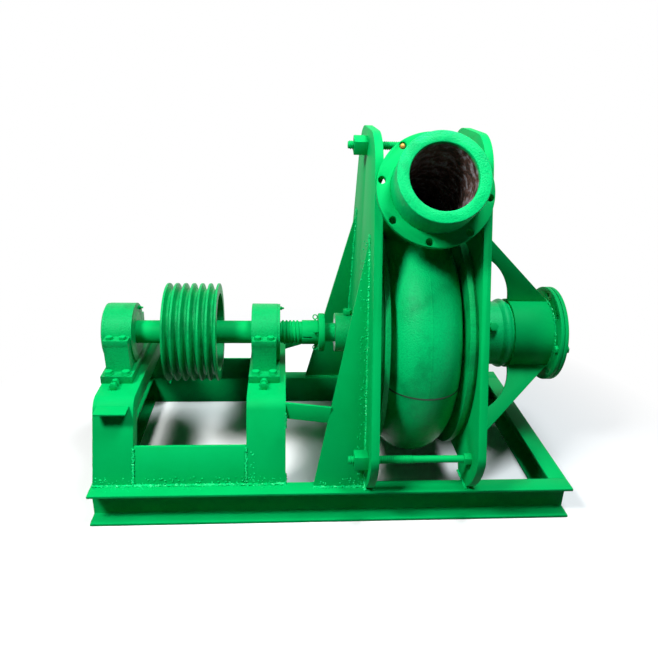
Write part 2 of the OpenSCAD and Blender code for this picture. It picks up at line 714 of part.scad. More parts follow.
module foot_bolts() color(steel) for (x = [brg1_x, brg2_x]) foot_bolt_places(x) {
    translate([0, 0, ped_top - ped_t - foot_bolt_d]) cylinder(h = ped_t + foot_bolt_d + foot_t, d = foot_bolt_d);
    translate([0, 0, ped_top + foot_t]) cylinder(h = 2.5, d = foot_bolt_d * 1.9);
    translate([0, 0, ped_top + foot_t + 2.5]) hex(foot_bolt_d * 1.5, foot_bolt_d * 0.65);
    translate([0, 0, ped_top - ped_t - foot_bolt_d * 0.8]) rotate(30) hex(foot_bolt_d * 1.5, foot_bolt_d * 0.8);
}

// End covers, each with a spigot that holds the rolling bearing in its housing
cover_r = cap_r - 1;
open_r = shaft_d / 2 + run_gap;
spigot_w = (brg_w - ring_w) / 2;
module spigot(x0, hole) tube(x0, x0 + spigot_w, ring_r, hole);
module foot_block(x) translate([x - foot_w / 2, -foot_len / 2, ped_top]) cube([foot_w, foot_len, foot_t]);
module left_end_covers() color(cast) {
    spigot(brg1_x + ring_w / 2, open_r);
    spigot(brg1_x - brg_w / 2, roll_in - 2);
    difference() {
        union() {
            translate([brg1_x - brg_w / 2, 0, shaft_z]) rotate([0, -90, 0]) cylinder(h = blind_t - 4, r = cover_r);
            translate([brg1_x - brg_w / 2 - blind_t + 4, 0, shaft_z]) rotate([0, -90, 0])
                cylinder(h = 4, r1 = cover_r, r2 = cover_r - 8);
        }
        foot_block(brg1_x);
    }
}
module right_end_covers() color(cast) {
    spigot(brg2_x - brg_w / 2, open_r);
    spigot(brg2_x + ring_w / 2, open_r);
    difference() {
        tube(brg2_x + brg_w / 2, brg2_x + brg_w / 2 + cover_t, cover_r, open_r);
        foot_block(brg2_x);
    }
}
module bearing_outer_rings() color(steel) for (x = [brg1_x, brg2_x])
    tube(x - ring_w / 2, x + ring_w / 2, ring_r, ring_r - ring_t);
module bearing_inner_rings() color(steel) for (x = [brg1_x, brg2_x])
    tube(x - ring_w / 2 + 1, x + ring_w / 2 - 1, roll_in, shaft_d / 2);
module bearing_rollers() color(steel) for (x = [brg1_x, brg2_x]) {
    for (k = [0:roller_n - 1]) translate([x, 0, shaft_z]) rotate([360 * k / roller_n, 0, 0])
        translate([-ring_w / 2 + 3, roll_c, 0]) rotate([0, 90, 0]) cylinder(h = ring_w - 6, r = roll_r, $fn = 32);
    difference() {
        tube(x - ring_w / 2 + 2, x + ring_w / 2 - 2, roll_c + 1.5, roll_c - 1.5);
        for (k = [0:roller_n - 1]) translate([x, 0, shaft_z]) rotate([360 * k / roller_n, 0, 0])
            translate([-ring_w / 2 + 3, roll_c, 0]) rotate([0, 90, 0]) cylinder(h = ring_w - 6, r = roll_r, $fn = 32);
    }
}
nipple_y = 44;
module grease_nipples() color(steel) for (x = [brg1_x + brg_w / 2, brg2_x + brg_w / 2 + cover_t]) {
    translate([x, nipple_y, shaft_z + 62]) rotate([0, 90, 0]) {
        hex(11, 5);
        translate([0, 0, 5]) cylinder(h = 7, d1 = 8, d2 = 5);
    }
}

// Jack screws that push the bearing feet along the pedestals
jack_nut_t = 12;
jack_nut_y = -foot_len / 2 - 9 - jack_nut_t;
module along_y(x, y) translate([x, y, jack_z]) rotate([-90, 0, 0]) children();
module jack_nuts() color(green) for (x = [brg1_x, brg2_x]) along_y(x, jack_nut_y) difference() {
    hex(jack_af, jack_nut_t);
    translate([0, 0, -1]) cylinder(h = jack_nut_t + 2, r = jack_d / 2 + fit_gap);
}
module jack_screw(x) along_y(x, jack_nut_y - 12) {
    translate([0, 0, -4]) cylinder(h = jack_nut_t + 25, d = jack_d);
    translate([0, 0, -9]) hex(jack_af, 9);
}
module left_jack_screw() color(green) jack_screw(brg1_x);
module right_jack_screw() color(green) jack_screw(brg2_x);

// Turning parts
key_w = 20;
key_h = 12;
module key_block(grow) translate([pulley_x - hub_len / 2 + 6, -key_w / 2, shaft_z + shaft_d / 2 - key_h / 2])
    cube([hub_len - 12, key_w, key_h + grow]);
module drive_shaft() color(green) difference() {
    union() {
        bar(shaft_x0, thread_x1 - 1.5, shaft_d / 2);
        bar(thread_x1 - 2, nose_x, neck_d / 2);
    }
    key_block(0);
}
module pulley_key() color(steel) key_block(0);
function grooves() = [for (k = [0:groove_n - 1]) let (x = (k - (groove_n - 1) / 2) * groove_p,
    w = groove_w / 2, b = groove_w / 2 - groove_h * tan(18))
    for (p = [[-w, 0], [-b, groove_h], [b, groove_h], [w, 0]]) [pulley_r - p[1], x + p[0]]];
pulley_w = groove_n * groove_p + 6;
rim_in = pulley_r - groove_h - 11;
module v_pulley() color(green) difference() {
    translate([pulley_x, 0, shaft_z]) rotate([0, 90, 0]) rotate_extrude() polygon(concat(
        [[shaft_d / 2, -hub_len / 2], [hub_r, -hub_len / 2], [hub_r, -14], [rim_in, -10],
        [rim_in, -pulley_w / 2], [pulley_r, -pulley_w / 2]], grooves(),
        [[pulley_r, pulley_w / 2], [rim_in, pulley_w / 2], [rim_in, 10], [hub_r, 14],
        [hub_r, hub_len / 2], [shaft_d / 2, hub_len / 2]]));
    translate([pulley_x - hub_len, -key_w / 2, shaft_z]) cube([2 * hub_len, key_w, shaft_d / 2 + key_h / 2]);
}
turns_n = floor((thread_len - 4) / thread_p);
module threaded_sleeve() color(green) translate([thread_x1, 0, shaft_z]) rotate([0, 90, 0]) rotate_extrude()
    polygon(concat([[neck_d / 2, 0], [sleeve_d / 2 - thread_h, 0]],
        [for (i = [0:turns_n - 1]) for (p = [[0, 2], [1, 4.5], [1, 7.5], [0, 10]])
            [sleeve_d / 2 - thread_h + thread_h * p[0], i * thread_p + p[1] * thread_p / 11]],
        [[sleeve_d / 2 - thread_h, thread_len], [neck_d / 2, thread_len]]));
slot_w = 5;
pin_d = 6;
pin_x = lock_x2 - 9;
module pin_places() translate([pin_x, 0, shaft_z]) for (a = [-113, -23, 67, 157]) rotate([a, 0, 0]) children();
module lock_sleeve() color(green) difference() {
    tube(thread_x2, lock_x2, sleeve_d / 2, neck_d / 2);
    translate([thread_x2 - 1, -sleeve_d, shaft_z - slot_w]) cube([lock_len * 0.62, sleeve_d - neck_d / 2 + 1, slot_w]);
    pin_places() translate([0, -neck_d / 2 + 1, 0]) rotate([90, 0, 0]) cylinder(h = sleeve_d, d = pin_d);
}
// Short pins in the locking sleeve, each with a ring through its head
ring_d = 17;
wire_d = 3.5;
module lock_pins() color(steel) pin_places() {
    translate([0, -neck_d / 2, 0]) rotate([90, 0, 0]) cylinder(h = (sleeve_d - neck_d) / 2 + 3, d = pin_d);
    translate([0, -sleeve_d / 2 - 3 - ring_d / 2 + wire_d / 2, 0]) rotate([90, 0, 0]) rotate([0, 90, 90])
        rotate_extrude($fn = 48) translate([(ring_d - wire_d) / 2, 0]) circle(d = wire_d, $fn = 16);
}
module shaft_collar() color(green) tube(lock_x2, collar_x2, collar_d / 2, neck_d / 2);

// Impeller: hub, two shrouds and curved vanes
shroud_t = 15;
imp_x1 = case_x - imp_w / 2;
imp_x2 = case_x + imp_w / 2;
hub_imp_r = 50;
vane_r = 130;
vane_t = 12;
module impeller() color("gray") {
    tube(imp_x1, imp_x1 + shroud_t, imp_r, neck_d / 2);
    tube(imp_x1 + shroud_t, nose_x - 20, hub_imp_r, neck_d / 2);
    tube(imp_x2 - shroud_t, imp_x2, imp_r, bore_d / 2 + 4);
    difference() {
        for (k = [0:vane_n - 1]) translate([imp_x1 + shroud_t, 0, shaft_z]) rotate([90, 0, 90])
            rotate(360 * k / vane_n) linear_extrude(imp_w - 2 * shroud_t) intersection() {
                circle(imp_r - 4);
                translate([vane_r - hub_imp_r + 20, 0]) difference() {
                    circle(vane_r);
                    circle(vane_r - vane_t);
                    translate([-far, -far]) square([2 * far, far]);
                }
            }
        bar(imp_x1, imp_x2, hub_imp_r - 0.02);
    }
}
module impeller_nut() color(steel) {
    tube(nose_x - 20, nose_x, 42, neck_d / 2);
    translate([nose_x, 0, shaft_z]) rotate([0, 90, 0]) cylinder(h = 22, r1 = 42, r2 = 20);
}

front_rail();
rear_rail();
left_end_rail();
right_end_rail();
left_pedestal();
right_pedestal();
pedestal_tab();
front_skirt();
rear_skirt();
front_brace();
rear_brace();
drive_side_plate();
suction_side_plate();
front_gusset();
rear_gusset();
tie_rods();
tie_nuts();
volute_upper();
volute_outlet();
volute_lower();
drive_side_liner();
suction_side_liner();
discharge_neck();
discharge_flange();
suction_pipe();
suction_sleeve();
suction_flange();
companion_flange();
suction_gasket();
flange_bolts();
suction_gussets();
plug_bolts();
stuffing_box();
packing_rings();
gland_follower();
left_bearing_base();
left_bearing_cap();
right_bearing_base();
right_bearing_cap();
cap_bolts();
foot_bolts();
left_end_covers();
right_end_covers();
bearing_outer_rings();
grease_nipples();
jack_nuts();
left_jack_screw();
right_jack_screw();
drive_shaft();
v_pulley();
pulley_key();
threaded_sleeve();
lock_sleeve();
shaft_collar();
lock_pins();
impeller();
impeller_nut();
bearing_inner_rings();
bearing_rollers();
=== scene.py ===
# %% [markdown]
# A belt-driven slurry pump stands on a frame of welded channels, all of it sprayed with green
# enamel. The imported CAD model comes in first. It gives every piece its place and size, so a new
# piece takes its numbers from the model's boxes wherever a box can give them. The few that no
# box gives, such as where a rod's axis lies, are named values beside the piece.

# %% Load the frame
import json
import math
import random

import bpy
from mathutils import Matrix, Vector

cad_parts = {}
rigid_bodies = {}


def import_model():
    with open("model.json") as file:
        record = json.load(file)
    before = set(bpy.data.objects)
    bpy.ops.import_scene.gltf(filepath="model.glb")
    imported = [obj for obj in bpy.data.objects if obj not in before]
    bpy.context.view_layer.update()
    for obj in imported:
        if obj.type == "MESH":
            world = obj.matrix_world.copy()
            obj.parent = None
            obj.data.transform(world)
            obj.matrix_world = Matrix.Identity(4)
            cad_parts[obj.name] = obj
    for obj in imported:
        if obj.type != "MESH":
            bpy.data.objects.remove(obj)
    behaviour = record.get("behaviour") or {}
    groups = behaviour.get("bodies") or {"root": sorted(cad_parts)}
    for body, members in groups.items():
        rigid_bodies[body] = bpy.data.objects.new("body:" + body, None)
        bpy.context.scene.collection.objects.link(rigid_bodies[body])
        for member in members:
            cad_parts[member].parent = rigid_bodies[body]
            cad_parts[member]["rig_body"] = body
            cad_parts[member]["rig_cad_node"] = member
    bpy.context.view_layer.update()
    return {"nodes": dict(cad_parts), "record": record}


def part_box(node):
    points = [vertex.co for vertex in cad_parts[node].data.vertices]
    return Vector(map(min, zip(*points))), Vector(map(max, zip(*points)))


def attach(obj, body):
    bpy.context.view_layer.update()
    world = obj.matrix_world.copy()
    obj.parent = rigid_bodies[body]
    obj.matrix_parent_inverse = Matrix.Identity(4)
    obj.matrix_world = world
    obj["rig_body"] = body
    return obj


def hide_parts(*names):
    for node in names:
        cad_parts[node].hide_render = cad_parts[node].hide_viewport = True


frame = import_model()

MM = 0.001
body_of_node = {
    node: body
    for body, nodes in frame["record"]["behaviour"]["bodies"].items()
    for node in nodes
}

# %% [markdown]
# The camera stands where the photographer stood: in front of the pump, a little to the left of
# its middle and well above the shaft, looking down. A fitted camera has a small roll as well,
# and leaving it out would tilt every upright against the picture, so it is kept.

# %% Camera
CAMERA_PLACE = Vector((-0.165, -1.805, 1.195))
LOOK_DOWN = math.radians(22.75)
TURN_RIGHT = math.radians(4.6)
ROLL = math.radians(1.97)
SENSOR = 36.0
FOCAL_PIXELS = 632.0
FRAME_PIXELS = 658.0


def camera_axes():
    """Right, up and backward directions of the fitted camera."""
    ahead = Vector((
        math.sin(TURN_RIGHT) * math.cos(LOOK_DOWN),
        math.cos(TURN_RIGHT) * math.cos(LOOK_DOWN),
        -math.sin(LOOK_DOWN),
    ))
    right = Vector((math.cos(TURN_RIGHT), -math.sin(TURN_RIGHT), 0.0))
    up = right.cross(ahead)
    rolled_right = math.cos(ROLL) * right + math.sin(ROLL) * up
    rolled_up = math.cos(ROLL) * up - math.sin(ROLL) * right
    return rolled_right, rolled_up, -ahead


bpy.ops.object.camera_add()
camera = bpy.context.object
camera.name = "photo_camera"
turned = Matrix(camera_axes()).transposed().to_4x4()
camera.matrix_world = Matrix.Translation(CAMERA_PLACE) @ turned
camera.data.sensor_width = SENSOR
camera.data.lens = FOCAL_PIXELS / FRAME_PIXELS * SENSOR
camera.data.clip_end = 60.0
bpy.context.scene.camera = camera
print("lens", round(camera.data.lens, 2), "mm")

# %% [markdown]
# Colours are written as a painter would pick them on a screen, in sRGB. Blender works with
# linear light, so one function turns a hex value into that. A second one adds any shader node
# with its settings and links, which keeps each material short enough to read in one go.

# %% Colour and node helpers


def colour(hex_value):
    """An sRGB hex value such as #00A858 as a linear RGBA colour."""
    digits = hex_value.lstrip("#")
    parts = [int(digits[i:i + 2], 16) / 255 for i in (0, 2, 4)]
    linear = [p / 12.92 if p <= 0.04045 else ((p + 0.055) / 1.055) ** 2.4 for p in parts]
    return (*linear, 1.0)


def add(tree, kind, inputs=None, **settings):
    """A shader node of that kind: settings are its properties, inputs are values or sockets."""
    made = tree.nodes.new(kind)
    for name, value in settings.items():
        setattr(made, name, value)
    for name, value in (inputs or {}).items():
        if isinstance(value, bpy.types.NodeSocket):
            tree.links.new(value, made.inputs[name])
        else:
            made.inputs[name].default_value = value
    return made


def new_material(name):
    """An empty node material and its shader tree."""
    material = bpy.data.materials.new(name)
    material.use_nodes = True
    material.node_tree.nodes.clear()
    return material, material.node_tree


def close_material(tree, shader):
    """Joins a shader to the material's output."""
    add(tree, "ShaderNodeOutputMaterial", {"Surface": shader.outputs[0]})


def per_mm(size):
    """Noise scale whose features are about that many millimetres across."""
    return 1.0 / (size * MM)


print("pump green in linear light", [round(part, 3) for part in colour("#00A858")[:3]])


# %% [markdown]
# The whole pump is sprayed with alkyd enamel, an oil-based machine paint. Rolled plate and
# channel stay nearly flat under it, with a faint orange peel and slow changes of tone where
# the spray was thinner. Castings keep the grain of their sand mould, and welds keep their
# ripples. So one function makes the paint, and the ground under it sets the grain's size and
# depth. Real sand grain is under a millimetre, which is finer than a pixel here, so it is drawn
# about four millimetres wide to show at all.

# %% Enamel
ENAMEL_IOR = 1.5
# Even the shine stays green, so the brightest spots are mint instead of white
SHINE = "#8CFFD0"
# Widths of the noise's features, in millimetres
PEEL_WIDTH = 9.0
TONE_WIDTH = 130.0
# A colour mix node's own sockets, by number, because several share one name
MIX_FACTOR, MIX_A, MIX_B, MIX_RESULT = 0, 6, 7, 2


def ramp(tree, value, low, middle, high):
    """A colour ramp over a value; each of its three stops is a position and a hex colour."""
    made = add(tree, "ShaderNodeValToRGB", {"Fac": value})
    stops = made.color_ramp.elements
    for stop, (position, hex_value) in zip(stops, (low, high)):
        stop.position = position
        stop.color = colour(hex_value)
    stops.new(middle[0]).color = colour(middle[1])
    return made


def enamel(name, tones_hex, grain_width, grain_depth, roughness, shine, speck=0.0):
    """Green machine enamel in three tones: usual, where it lies thin, and where it pools."""
    tone, thin, deep = tones_hex
    rough_low, rough_high = roughness
    material, tree = new_material(name)
    place = add(tree, "ShaderNodeTexCoord").outputs["Object"]
    drift = add(tree, "ShaderNodeTexNoise", {
        "Vector": place, "Scale": per_mm(TONE_WIDTH), "Detail": 4.0, "Roughness": 0.6})
    tones = ramp(tree, drift.outputs["Fac"], (0.3, deep), (0.5, tone), (0.72, thin))
    grain = add(tree, "ShaderNodeTexNoise", {
        "Vector": place, "Scale": per_mm(grain_width), "Detail": 3.0, "Roughness": 0.55})
    # The deep tone also goes into the low points of the grain's bump, so the dents are darker.
    pits = add(tree, "ShaderNodeMapRange", {
        "Value": grain.outputs["Fac"], "From Min": 0.3, "From Max": 0.5,
        "To Min": 1.0, "To Max": 0.0})
    pit_share = add(tree, "ShaderNodeMath", {
        0: pits.outputs["Result"], 1: speck}, operation="MULTIPLY")
    surface = add(tree, "ShaderNodeMix", {
        MIX_FACTOR: pit_share.outputs[0], MIX_A: tones.outputs["Color"], MIX_B: colour(deep)},
        data_type="RGBA")
    gloss = add(tree, "ShaderNodeMapRange", {
        "Value": drift.outputs["Fac"], "From Min": 0.3, "From Max": 0.7,
        "To Min": rough_low, "To Max": rough_high})
    peel = add(tree, "ShaderNodeTexNoise", {
        "Vector": place, "Scale": per_mm(PEEL_WIDTH), "Detail": 1.0})
    rise = add(tree, "ShaderNodeBump", {
        "Height": peel.outputs["Fac"], "Strength": 0.25, "Distance": 0.25 * MM})
    cast = add(tree, "ShaderNodeBump", {
        "Height": grain.outputs["Fac"], "Strength": 1.0, "Distance": grain_depth * MM,
        "Normal": rise.outputs["Normal"]})
    shader = add(tree, "ShaderNodeBsdfPrincipled", {
        "Base Color": surface.outputs[MIX_RESULT], "Roughness": gloss.outputs["Result"],
        "IOR": ENAMEL_IOR, "Specular IOR Level": shine, "Specular Tint": colour(SHINE),
        "Normal": cast.outputs["Normal"]})
    close_material(tree, shader)
    return material


plate_enamel = enamel(
    "alkyd_enamel_on_rolled_plate", ("#00AA56", "#00AE5A", "#00A452"),
    grain_width=14.0, grain_depth=0.12, roughness=(0.52, 0.6), shine=0.1)
cast_enamel = enamel(
    "alkyd_enamel_on_sand_casting", ("#00A052", "#00A657", "#007038"),
    grain_width=3.8, grain_depth=1.5, roughness=(0.36, 0.44), shine=0.24, speck=0.55)
# The casing gets a lighter green than the small castings: painted light, where the casing is lit.
# The small castings' darker green is partly their paint and partly painted shade on the pulley and the caps'
# fronts.
lit_casing_enamel = enamel(
    "alkyd_enamel_on_casing_with_painted_light", ("#00BA66", "#00C06A", "#008446"),
    grain_width=3.8, grain_depth=1.3, roughness=(0.36, 0.44), shine=0.24, speck=0.4)
# The welds' greens are lighter than the plates': painted highlight for the glints on the beads' ripples and on
# the spatter drops.
weld_enamel_painted_glints = enamel(
    "alkyd_enamel_on_weld_metal_with_painted_glints", ("#00C46C", "#10D880", "#00A452"),
    grain_width=3.0, grain_depth=0.7, roughness=(0.22, 0.3), shine=0.4, speck=0.5)
print("paints", plate_enamel.name, cast_enamel.name, weld_enamel_painted_glints.name)

# %% [markdown]
# A few things aren't green. The bolt end in the discharge flange is yellow zinc. The bearings'
# rings and rollers, the key and the gland are ground steel, the impeller is plain grey cast
# iron, the packing is plaited fibre and the gasket is rubber. A dark strip along the casing's joint
# is painted shadow under the upper half's lip. Raw iron, ground metal and soft fillers have a
# function each, because they differ in how they shine: iron in rusty patches, metal in bands round
# the shaft, and fibre hardly at all.

# %% Raw iron, zinc, steel, fibre and rubber
RUST_WIDTH = 22.0
GRIT_WIDTH = 3.5
# The lines' noise is drawn out fifty times across the shaft's axis, so it turns into rings
RING_STRETCH = (1.0, 0.02, 0.02)


def raw_iron(name, clean, rust, dark, roughness, rust_share):
    """Unpainted cast iron: clean metal, rust in patches and dark pits."""
    material, tree = new_material(name)
    place = add(tree, "ShaderNodeTexCoord").outputs["Object"]
    patches = add(tree, "ShaderNodeTexNoise", {
        "Vector": place, "Scale": per_mm(RUST_WIDTH), "Detail": 6.0, "Roughness": 0.65})
    metal = ramp(
        tree, patches.outputs["Fac"], (0.36, dark), (rust_share, rust), (0.62, clean))
    grit = add(tree, "ShaderNodeTexNoise", {
        "Vector": place, "Scale": per_mm(GRIT_WIDTH), "Detail": 4.0})
    rise = add(tree, "ShaderNodeBump", {
        "Height": grit.outputs["Fac"], "Strength": 1.0, "Distance": 0.5 * MM})
    shader = add(tree, "ShaderNodeBsdfPrincipled", {
        "Base Color": metal.outputs["Color"], "Roughness": roughness, "Metallic": 0.25,
        "Normal": rise.outputs["Normal"]})
    close_material(tree, shader)
    return material


def ground_metal(name, tone, roughness, ring_width):
    """Turned or ground metal: fine lines round the shaft make its shine run in bands."""
    material, tree = new_material(name)
    place = add(tree, "ShaderNodeTexCoord").outputs["Object"]
    lines = add(tree, "ShaderNodeMapping", {"Vector": place, "Scale": RING_STRETCH})
    marks = add(tree, "ShaderNodeTexNoise", {
        "Vector": lines.outputs["Vector"], "Scale": per_mm(ring_width), "Detail": 2.0})
    dull = add(tree, "ShaderNodeMapRange", {
        "Value": marks.outputs["Fac"], "To Min": roughness - 0.06, "To Max": roughness + 0.1})
    rise = add(tree, "ShaderNodeBump", {
        "Height": marks.outputs["Fac"], "Strength": 0.4, "Distance": 0.05 * MM})
    shader = add(tree, "ShaderNodeBsdfPrincipled", {
        "Base Color": colour(tone), "Metallic": 1.0, "Roughness": dull.outputs["Result"],
        "Normal": rise.outputs["Normal"]})
    close_material(tree, shader)
    return material


def soft_filler(name, tone, shade, strand_width, roughness):
    """Fibre packing or sheet rubber: a woven or pressed grain in two close tones."""
    material, tree = new_material(name)
    place = add(tree, "ShaderNodeTexCoord").outputs["Object"]
    strands = add(tree, "ShaderNodeTexVoronoi", {"Vector": place, "Scale": per_mm(strand_width)})
    tones = add(tree, "ShaderNodeMix", {
        MIX_FACTOR: strands.outputs["Distance"], MIX_A: colour(shade), MIX_B: colour(tone)},
        data_type="RGBA")
    rise = add(tree, "ShaderNodeBump", {
        "Height": strands.outputs["Distance"], "Strength": 0.6, "Distance": 0.4 * MM})
    shader = add(tree, "ShaderNodeBsdfPrincipled", {
        "Base Color": tones.outputs[MIX_RESULT], "Roughness": roughness,
        "Normal": rise.outputs["Normal"]})
    close_material(tree, shader)
    return material


impeller_iron = raw_iron(
    "grey_cast_iron", "#5B5E60", "#4A4340", "#2A2B2C", roughness=0.55, rust_share=0.45)
bearing_steel = ground_metal("ground_bearing_steel", "#B9BCC0", roughness=0.24, ring_width=0.8)
zinc_yellow = ground_metal("yellow_zinc_plating", "#8C6C34", roughness=0.4, ring_width=1.5)
plaited_fibre = soft_filler(
    "plaited_fibre_packing", "#8C8168", "#4D4636", strand_width=3.0, roughness=0.85)
sheet_rubber = soft_filler(
    "sheet_rubber", "#1C1D1E", "#0E0F10", strand_width=2.0, roughness=0.75)
# A near-black green strip along the casing's joint: painted shadow under the upper half's lip.
painted_joint_shadow = soft_filler(
    "dark_painted_joint_shadow", "#063A20", "#021A0E", strand_width=3.0, roughness=0.6)
print("bare finishes made")

# %% [markdown]
# The inside of the discharge mouth was never sprayed: it is raw iron with brown rust, and the
# green only reaches a little way in. So the casing needs both finishes on one surface. The mask
# is the distance from the mouth's axis: within the bore's radius the surface is bare iron,
# outside it is paint. Noise makes the border ragged, and a few millimetres at the mouth stay
# green where the spray reached.

# %% Bare bore under the paint
# Middle of the mouth's rim in metres, and the turn that lays local Z along the bore
MOUTH = (0.223, -0.292467, 0.956432)
MOUTH_LEAN = (math.radians(60), 0.0, 0.0)
BORE_EDGE = (86.6 * MM, 87.4 * MM)
SPRAY_REACH = (-16 * MM, -5 * MM)
BORE_DEPTH = 560 * MM
RAGGED_WIDTH = 16.0
RAGGED_DEPTH = 24 * MM


def bare_inside(painted, name):
    """A copy of a paint with the discharge bore left as rusty iron."""
    material = painted.copy()
    material.name = name
    tree = material.node_tree
    shader = next(node for node in tree.nodes if node.type == "BSDF_PRINCIPLED")
    place = add(tree, "ShaderNodeTexCoord").outputs["Object"]
    local = add(tree, "ShaderNodeMapping", {
        "Vector": place, "Location": MOUTH, "Rotation": MOUTH_LEAN}, vector_type="TEXTURE")
    across = add(tree, "ShaderNodeVectorMath", {
        0: local.outputs["Vector"], 1: (1.0, 1.0, 0.0)}, operation="MULTIPLY")
    reach = add(tree, "ShaderNodeVectorMath", {0: across.outputs["Vector"]}, operation="LENGTH")
    inside = add(tree, "ShaderNodeMapRange", {
        "Value": reach.outputs["Value"], "From Min": BORE_EDGE[0], "From Max": BORE_EDGE[1],
        "To Min": 1.0, "To Max": 0.0})
    depth = add(tree, "ShaderNodeSeparateXYZ", {"Vector": local.outputs["Vector"]})
    ragged = add(tree, "ShaderNodeTexNoise", {
        "Vector": place, "Scale": per_mm(RAGGED_WIDTH), "Detail": 5.0})
    shift = add(tree, "ShaderNodeMath", {
        0: ragged.outputs["Fac"], 1: RAGGED_DEPTH, 2: depth.outputs["Z"]},
        operation="MULTIPLY_ADD")
    past_spray = add(tree, "ShaderNodeMapRange", {
        "Value": shift.outputs[0], "From Min": SPRAY_REACH[0] + RAGGED_DEPTH / 2,
        "From Max": SPRAY_REACH[1] + RAGGED_DEPTH / 2, "To Min": 1.0, "To Max": 0.0})
    in_reach = add(tree, "ShaderNodeMath", {
        0: depth.outputs["Z"], 1: -BORE_DEPTH}, operation="GREATER_THAN")
    both = add(tree, "ShaderNodeMath", {
        0: inside.outputs["Result"], 1: past_spray.outputs["Result"]}, operation="MULTIPLY")
    bare = add(tree, "ShaderNodeMath", {
        0: both.outputs[0], 1: in_reach.outputs[0]}, operation="MULTIPLY")
    patches = add(tree, "ShaderNodeTexNoise", {
        "Vector": place, "Scale": per_mm(RUST_WIDTH), "Detail": 6.0, "Roughness": 0.65})
    iron = ramp(
        tree, patches.outputs["Fac"], (0.38, "#262424"), (0.5, "#5A3E36"), (0.62, "#86858A"))
    paint = shader.inputs["Base Color"].links[0].from_socket
    gloss = shader.inputs["Roughness"].links[0].from_socket
    surface = add(tree, "ShaderNodeMix", {
        MIX_FACTOR: bare.outputs[0], MIX_A: paint, MIX_B: iron.outputs["Color"]}, data_type="RGBA")
    matt = add(tree, "ShaderNodeMapRange", {
        "Value": bare.outputs[0], "To Min": gloss, "To Max": 0.65})
    tree.links.new(surface.outputs[MIX_RESULT], shader.inputs["Base Color"])
    tree.links.new(matt.outputs["Result"], shader.inputs["Roughness"])
    return material


# The bore's paint starts from the casing's lighter green, which is painted light.
mouth_finish = bare_inside(lit_casing_enamel, "enamel_with_bare_rusty_bore")
print("mouth finish", mouth_finish.name)

# %% [markdown]
# A CAD solid's edges are knife-sharp, and no real edge is. A small round on each one catches
# the light as a thin bright line, which is what makes steel look like steel. Each node is
# copied, its loose triangles are merged, flat areas are joined into single faces, and a bevel
# rounds the edges that are sharper than the chosen angle. The copy then stands for the node.

# %% Rounded copies
MERGE_DISTANCE = 0.00001
FLAT_ANGLE = math.radians(0.4)
EDGE_ANGLE = math.radians(38)
SMOOTH_ANGLE = math.radians(32)


def deselect():
    """Leaves nothing selected, because an operator acts on all that is."""
    bpy.ops.object.select_all(action="DESELECT")


def pick(piece):
    """Selects one object alone and makes it active."""
    deselect()
    piece.select_set(True)
    bpy.context.view_layer.objects.active = piece


def place_in_mesh(piece):
    """Moves an object's place, turn and scale into its mesh."""
    pick(piece)
    bpy.ops.object.transform_apply(location=True, rotation=True, scale=True)


def smooth(piece):
    """Smooth shading with crisp creases."""
    pick(piece)
    bpy.ops.object.shade_smooth_by_angle(angle=SMOOTH_ANGLE)


def finish_piece(piece, name, material, body):
    """Names, paints and mounts a piece whose place is already in its mesh."""
    piece.name = name
    piece.data.name = name
    piece.data.materials.clear()
    piece.data.materials.append(material)
    smooth(piece)
    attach(piece, body)
    return piece


def bare_copy(node):
    """An unparented copy of a CAD node with its corners merged and flat faces joined."""
    pick(frame["nodes"][node])
    bpy.ops.object.duplicate()
    piece = bpy.context.object
    piece.parent = None
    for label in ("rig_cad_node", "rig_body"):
        if label in piece:
            del piece[label]
    if piece.data.has_custom_normals:
        bpy.ops.mesh.customdata_custom_splitnormals_clear()
    bpy.ops.object.mode_set(mode="EDIT")
    bpy.ops.mesh.select_all(action="SELECT")
    bpy.ops.mesh.remove_doubles(threshold=MERGE_DISTANCE)
    bpy.ops.mesh.dissolve_limited(angle_limit=FLAT_ANGLE)
    bpy.ops.object.mode_set(mode="OBJECT")
    return piece


def rounded(node, material, round_mm, segments=2):
    """A copy of a CAD node with rounded edges, painted, which stands for the node."""
    piece = bare_copy(node)
    bevel = piece.modifiers.new("edge_round", "BEVEL")
    bevel.width = round_mm * MM
    bevel.segments = segments
    bevel.limit_method = "ANGLE"
    bevel.angle_limit = EDGE_ANGLE
    bevel.harden_normals = False
    bpy.ops.object.modifier_apply(modifier="edge_round")
    finish_piece(piece, node + "_finished", material, body_of_node[node])
    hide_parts(node)
    return piece


print("edges sharper than", round(math.degrees(EDGE_ANGLE)), "degrees are rounded")

# %% [markdown]
# The casing shows two lines: the raised line its mould left down the crown, and a dark strip
# along the level joint between its halves, which is painted shadow under the upper half's lip.
# Both follow the casing's surface exactly, so each is a thin slice of the casing, cut out by planes
# and swollen a little.

# %% Casing's lines
CROWN_X = 0.223
JOINT_Z = 0.381
JOINT_LINE = 3.2 * MM
JOINT_RISE = 1.0 * MM
MOULD_LINE = 2.0 * MM
MOULD_RISE = 0.9 * MM
MOULD_TOP_Z = 0.70


def slice_of(node, cuts, rise):
    """A slice of a node, kept behind each cutting plane and then swollen."""
    piece = bare_copy(node)
    bpy.ops.object.mode_set(mode="EDIT")
    for point, outward in cuts:
        bpy.ops.mesh.select_all(action="SELECT")
        bpy.ops.mesh.bisect(plane_co=point, plane_no=outward, use_fill=True, clear_outer=True)
    bpy.ops.mesh.select_all(action="SELECT")
    bpy.ops.mesh.normals_make_consistent(inside=False)
    bpy.ops.transform.shrink_fatten(value=rise)
    bpy.ops.object.mode_set(mode="OBJECT")
    return piece


